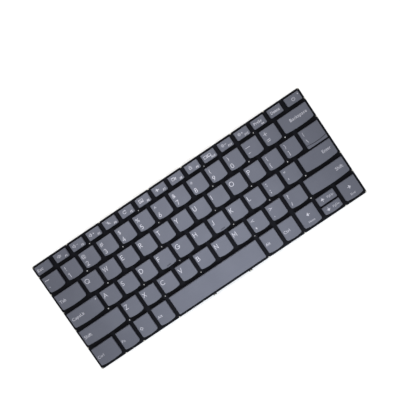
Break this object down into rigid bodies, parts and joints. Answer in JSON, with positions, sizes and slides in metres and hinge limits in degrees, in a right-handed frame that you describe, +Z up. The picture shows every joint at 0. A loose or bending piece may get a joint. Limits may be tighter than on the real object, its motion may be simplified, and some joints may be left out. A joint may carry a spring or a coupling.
{
  "type": "laptop replacement keyboard",
  "caption": "Flat island-style laptop keyboard: separate grey keycaps on scissor links over a black film and a punched steel plate.",
  "frame": {"origin": "centre of the steel plate's underside, with the ear at its front counted in", "axes": "+X towards the right-hand end as typed on, +Y towards the function row, +Z up out of the key tops"},
  "size_m": [0.282, 0.1112, 0.0051],
  "materials": {
    "plate_steel": "rolled, matt",
    "membrane_pet": "matt film",
    "film_black": "matt film",
    "dome_rubber": "matt",
    "link_plastic": "moulded, satin",
    "wire_steel": "drawn wire",
    "keycap_plastic": "moulded, satin"
  },
  "bodies": {
    "chassis": {"base_plate": "plate_steel", "switch_membrane": "membrane_pet", "cover_film": "film_black", "rubber_domes": "dome_rubber", "outer_links": "link_plastic", "inner_links": "link_plastic", "stabiliser_wires": "wire_steel", "function_keycaps": "keycap_plastic", "modifier_keycaps": "keycap_plastic"},
    "enter_stabiliser": {"enter_stabiliser": "wire_steel"},
    "space_stabiliser": {"space_stabiliser": "wire_steel"},
    "key_tilde": {"keycap_tilde": "keycap_plastic"},
    "key_1": {"keycap_1": "keycap_plastic"},
    "key_2": {"keycap_2": "keycap_plastic"},
    "key_3": {"keycap_3": "keycap_plastic"},
    "key_4": {"keycap_4": "keycap_plastic"},
    "key_5": {"keycap_5": "keycap_plastic"},
    "key_6": {"keycap_6": "keycap_plastic"},
    "key_7": {"keycap_7": "keycap_plastic"},
    "key_8": {"keycap_8": "keycap_plastic"},
    "key_9": {"keycap_9": "keycap_plastic"},
    "key_0": {"keycap_0": "keycap_plastic"},
    "key_minus": {"keycap_minus": "keycap_plastic"},
    "key_equals": {"keycap_equals": "keycap_plastic"},
    "key_q": {"keycap_q": "keycap_plastic"},
    "key_w": {"keycap_w": "keycap_plastic"},
    "key_e": {"keycap_e": "keycap_plastic"},
    "key_r": {"keycap_r": "keycap_plastic"},
    "key_t": {"keycap_t": "keycap_plastic"},
    "key_y": {"keycap_y": "keycap_plastic"},
    "key_u": {"keycap_u": "keycap_plastic"},
    "key_i": {"keycap_i": "keycap_plastic"},
    "key_o": {"keycap_o": "keycap_plastic"},
    "key_p": {"keycap_p": "keycap_plastic"},
    "key_left_bracket": {"keycap_left_bracket": "keycap_plastic"},
    "key_right_bracket": {"keycap_right_bracket": "keycap_plastic"},
    "key_backslash": {"keycap_backslash": "keycap_plastic"},
    "key_a": {"keycap_a": "keycap_plastic"},
    "key_s": {"keycap_s": "keycap_plastic"},
    "key_d": {"keycap_d": "keycap_plastic"},
    "key_f": {"keycap_f": "keycap_plastic"},
    "key_g": {"keycap_g": "keycap_plastic"},
    "key_h": {"keycap_h": "keycap_plastic"},
    "key_j": {"keycap_j": "keycap_plastic"},
    "key_k": {"keycap_k": "keycap_plastic"},
    "key_l": {"keycap_l": "keycap_plastic"},
    "key_semicolon": {"keycap_semicolon": "keycap_plastic"},
    "key_quote": {"keycap_quote": "keycap_plastic"},
    "key_enter": {"keycap_enter": "keycap_plastic"},
    "key_z": {"keycap_z": "keycap_plastic"},
    "key_x": {"keycap_x": "keycap_plastic"},
    "key_c": {"keycap_c": "keycap_plastic"},
    "key_v": {"keycap_v": "keycap_plastic"},
    "key_b": {"keycap_b": "keycap_plastic"},
    "key_n": {"keycap_n": "keycap_plastic"},
    "key_m": {"keycap_m": "keycap_plastic"},
    "key_comma": {"keycap_comma": "keycap_plastic"},
    "key_period": {"keycap_period": "keycap_plastic"},
    "key_slash": {"keycap_slash": "keycap_plastic"},
    "key_space": {"keycap_space": "keycap_plastic"}
  },
  "joints": [
    {"name": "tilde_press", "type": "slide", "parent": "chassis", "child": "key_tilde", "axis": [0, 0, -1], "range_m": [0, 0.0017], "stiffness_N_per_m": 450, "springref_m": -0.0003, "deforming": ["rubber_domes", "outer_links", "inner_links"]},
    {"name": "1_press", "type": "slide", "parent": "chassis", "child": "key_1", "axis": [0, 0, -1], "range_m": [0, 0.0017], "stiffness_N_per_m": 450, "springref_m": -0.0003},
    {"name": "2_press", "type": "slide", "parent": "chassis", "child": "key_2", "axis": [0, 0, -1], "range_m": [0, 0.0017], "stiffness_N_per_m": 450, "springref_m": -0.0003},
    {"name": "3_press", "type": "slide", "parent": "chassis", "child": "key_3", "axis": [0, 0, -1], "range_m": [0, 0.0017], "stiffness_N_per_m": 450, "springref_m": -0.0003},
    {"name": "4_press", "type": "slide", "parent": "chassis", "child": "key_4", "axis": [0, 0, -1], "range_m": [0, 0.0017], "stiffness_N_per_m": 450, "springref_m": -0.0003},
    {"name": "5_press", "type": "slide", "parent": "chassis", "child": "key_5", "axis": [0, 0, -1], "range_m": [0, 0.0017], "stiffness_N_per_m": 450, "springref_m": -0.0003},
    {"name": "6_press", "type": "slide", "parent": "chassis", "child": "key_6", "axis": [0, 0, -1], "range_m": [0, 0.0017], "stiffness_N_per_m": 450, "springref_m": -0.0003},
    {"name": "7_press", "type": "slide", "parent": "chassis", "child": "key_7", "axis": [0, 0, -1], "range_m": [0, 0.0017], "stiffness_N_per_m": 450, "springref_m": -0.0003},
    {"name": "8_press", "type": "slide", "parent": "chassis", "child": "key_8", "axis": [0, 0, -1], "range_m": [0, 0.0017], "stiffness_N_per_m": 450, "springref_m": -0.0003},
    {"name": "9_press", "type": "slide", "parent": "chassis", "child": "key_9", "axis": [0, 0, -1], "range_m": [0, 0.0017], "stiffness_N_per_m": 450, "springref_m": -0.0003},
    {"name": "0_press", "type": "slide", "parent": "chassis", "child": "key_0", "axis": [0, 0, -1], "range_m": [0, 0.0017], "stiffness_N_per_m": 450, "springref_m": -0.0003},
    {"name": "minus_press", "type": "slide", "parent": "chassis", "child": "key_minus", "axis": [0, 0, -1], "range_m": [0, 0.0017], "stiffness_N_per_m": 450, "springref_m": -0.0003},
    {"name": "equals_press", "type": "slide", "parent": "chassis", "child": "key_equals", "axis": [0, 0, -1], "range_m": [0, 0.0017], "stiffness_N_per_m": 450, "springref_m": -0.0003},
    {"name": "q_press", "type": "slide", "parent": "chassis", "child": "key_q", "axis": [0, 0, -1], "range_m": [0, 0.0017], "stiffness_N_per_m": 450, "springref_m": -0.0003},
    {"name": "w_press", "type": "slide", "parent": "chassis", "child": "key_w", "axis": [0, 0, -1], "range_m": [0, 0.0017], "stiffness_N_per_m": 450, "springref_m": -0.0003},
    {"name": "e_press", "type": "slide", "parent": "chassis", "child": "key_e", "axis": [0, 0, -1], "range_m": [0, 0.0017], "stiffness_N_per_m": 450, "springref_m": -0.0003},
    {"name": "r_press", "type": "slide", "parent": "chassis", "child": "key_r", "axis": [0, 0, -1], "range_m": [0, 0.0017], "stiffness_N_per_m": 450, "springref_m": -0.0003},
    {"name": "t_press", "type": "slide", "parent": "chassis", "child": "key_t", "axis": [0, 0, -1], "range_m": [0, 0.0017], "stiffness_N_per_m": 450, "springref_m": -0.0003},
    {"name": "y_press", "type": "slide", "parent": "chassis", "child": "key_y", "axis": [0, 0, -1], "range_m": [0, 0.0017], "stiffness_N_per_m": 450, "springref_m": -0.0003},
    {"name": "u_press", "type": "slide", "parent": "chassis", "child": "key_u", "axis": [0, 0, -1], "range_m": [0, 0.0017], "stiffness_N_per_m": 450, "springref_m": -0.0003},
    {"name": "i_press", "type": "slide", "parent": "chassis", "child": "key_i", "axis": [0, 0, -1], "range_m": [0, 0.0017], "stiffness_N_per_m": 450, "springref_m": -0.0003},
    {"name": "o_press", "type": "slide", "parent": "chassis", "child": "key_o", "axis": [0, 0, -1], "range_m": [0, 0.0017], "stiffness_N_per_m": 450, "springref_m": -0.0003},
    {"name": "p_press", "type": "slide", "parent": "chassis", "child": "key_p", "axis": [0, 0, -1], "range_m": [0, 0.0017], "stiffness_N_per_m": 450, "springref_m": -0.0003},
    {"name": "left_bracket_press", "type": "slide", "parent": "chassis", "child": "key_left_bracket", "axis": [0, 0, -1], "range_m": [0, 0.0017], "stiffness_N_per_m": 450, "springref_m": -0.0003},
    {"name": "right_bracket_press", "type": "slide", "parent": "chassis", "child": "key_right_bracket", "axis": [0, 0, -1], "range_m": [0, 0.0017], "stiffness_N_per_m": 450, "springref_m": -0.0003},
    {"name": "backslash_press", "type": "slide", "parent": "chassis", "child": "key_backslash", "axis": [0, 0, -1], "range_m": [0, 0.0017], "stiffness_N_per_m": 450, "springref_m": -0.0003},
    {"name": "a_press", "type": "slide", "parent": "chassis", "child": "key_a", "axis": [0, 0, -1], "range_m": [0, 0.0017], "stiffness_N_per_m": 450, "springref_m": -0.0003},
    {"name": "s_press", "type": "slide", "parent": "chassis", "child": "key_s", "axis": [0, 0, -1], "range_m": [0, 0.0017], "stiffness_N_per_m": 450, "springref_m": -0.0003},
    {"name": "d_press", "type": "slide", "parent": "chassis", "child": "key_d", "axis": [0, 0, -1], "range_m": [0, 0.0017], "stiffness_N_per_m": 450, "springref_m": -0.0003},
    {"name": "f_press", "type": "slide", "parent": "chassis", "child": "key_f", "axis": [0, 0, -1], "range_m": [0, 0.0017], "stiffness_N_per_m": 450, "springref_m": -0.0003},
    {"name": "g_press", "type": "slide", "parent": "chassis", "child": "key_g", "axis": [0, 0, -1], "range_m": [0, 0.0017], "stiffness_N_per_m": 450, "springref_m": -0.0003},
    {"name": "h_press", "type": "slide", "parent": "chassis", "child": "key_h", "axis": [0, 0, -1], "range_m": [0, 0.0017], "stiffness_N_per_m": 450, "springref_m": -0.0003},
    {"name": "j_press", "type": "slide", "parent": "chassis", "child": "key_j", "axis": [0, 0, -1], "range_m": [0, 0.0017], "stiffness_N_per_m": 450, "springref_m": -0.0003},
    {"name": "k_press", "type": "slide", "parent": "chassis", "child": "key_k", "axis": [0, 0, -1], "range_m": [0, 0.0017], "stiffness_N_per_m": 450, "springref_m": -0.0003},
    {"name": "l_press", "type": "slide", "parent": "chassis", "child": "key_l", "axis": [0, 0, -1], "range_m": [0, 0.0017], "stiffness_N_per_m": 450, "springref_m": -0.0003},
    {"name": "semicolon_press", "type": "slide", "parent": "chassis", "child": "key_semicolon", "axis": [0, 0, -1], "range_m": [0, 0.0017], "stiffness_N_per_m": 450, "springref_m": -0.0003},
    {"name": "quote_press", "type": "slide", "parent": "chassis", "child": "key_quote", "axis": [0, 0, -1], "range_m": [0, 0.0017], "stiffness_N_per_m": 450, "springref_m": -0.0003},
    {"name": "enter_press", "type": "slide", "parent": "chassis", "child": "key_enter", "axis": [0, 0, -1], "range_m": [0, 0.0017], "stiffness_N_per_m": 450, "springref_m": -0.0003},
    {"name": "z_press", "type": "slide", "parent": "chassis", "child": "key_z", "axis": [0, 0, -1], "range_m": [0, 0.0017], "stiffness_N_per_m": 450, "springref_m": -0.0003},
    {"name": "x_press", "type": "slide", "parent": "chassis", "child": "key_x", "axis": [0, 0, -1], "range_m": [0, 0.0017], "stiffness_N_per_m": 450, "springref_m": -0.0003},
    {"name": "c_press", "type": "slide", "parent": "chassis", "child": "key_c", "axis": [0, 0, -1], "range_m": [0, 0.0017], "stiffness_N_per_m": 450, "springref_m": -0.0003},
    {"name": "v_press", "type": "slide", "parent": "chassis", "child": "key_v", "axis": [0, 0, -1], "range_m": [0, 0.0017], "stiffness_N_per_m": 450, "springref_m": -0.0003},
    {"name": "b_press", "type": "slide", "parent": "chassis", "child": "key_b", "axis": [0, 0, -1], "range_m": [0, 0.0017], "stiffness_N_per_m": 450, "springref_m": -0.0003},
    {"name": "n_press", "type": "slide", "parent": "chassis", "child": "key_n", "axis": [0, 0, -1], "range_m": [0, 0.0017], "stiffness_N_per_m": 450, "springref_m": -0.0003},
    {"name": "m_press", "type": "slide", "parent": "chassis", "child": "key_m", "axis": [0, 0, -1], "range_m": [0, 0.0017], "stiffness_N_per_m": 450, "springref_m": -0.0003},
    {"name": "comma_press", "type": "slide", "parent": "chassis", "child": "key_comma", "axis": [0, 0, -1], "range_m": [0, 0.0017], "stiffness_N_per_m": 450, "springref_m": -0.0003},
    {"name": "period_press", "type": "slide", "parent": "chassis", "child": "key_period", "axis": [0, 0, -1], "range_m": [0, 0.0017], "stiffness_N_per_m": 450, "springref_m": -0.0003},
    {"name": "slash_press", "type": "slide", "parent": "chassis", "child": "key_slash", "axis": [0, 0, -1], "range_m": [0, 0.0017], "stiffness_N_per_m": 450, "springref_m": -0.0003},
    {"name": "space_press", "type": "slide", "parent": "chassis", "child": "key_space", "axis": [0, 0, -1], "range_m": [0, 0.0017], "stiffness_N_per_m": 650, "springref_m": -0.0003},
    {"name": "enter_stabiliser_turn", "type": "hinge", "parent": "chassis", "child": "enter_stabiliser", "pos_m": [0, 0.00249, 0.00095], "axis": [1, 0, 0], "range_deg": [0, 11.27]},
    {"name": "space_stabiliser_turn", "type": "hinge", "parent": "chassis", "child": "space_stabiliser", "pos_m": [0, -0.03561, 0.00095], "axis": [1, 0, 0], "range_deg": [0, 11.27]}
  ],
  "couplings": [
    {"joint": "enter_stabiliser_turn", "follows": "enter_press", "rad_per_m": 113.6},
    {"joint": "space_stabiliser_turn", "follows": "space_press", "rad_per_m": 113.6}
  ]
}
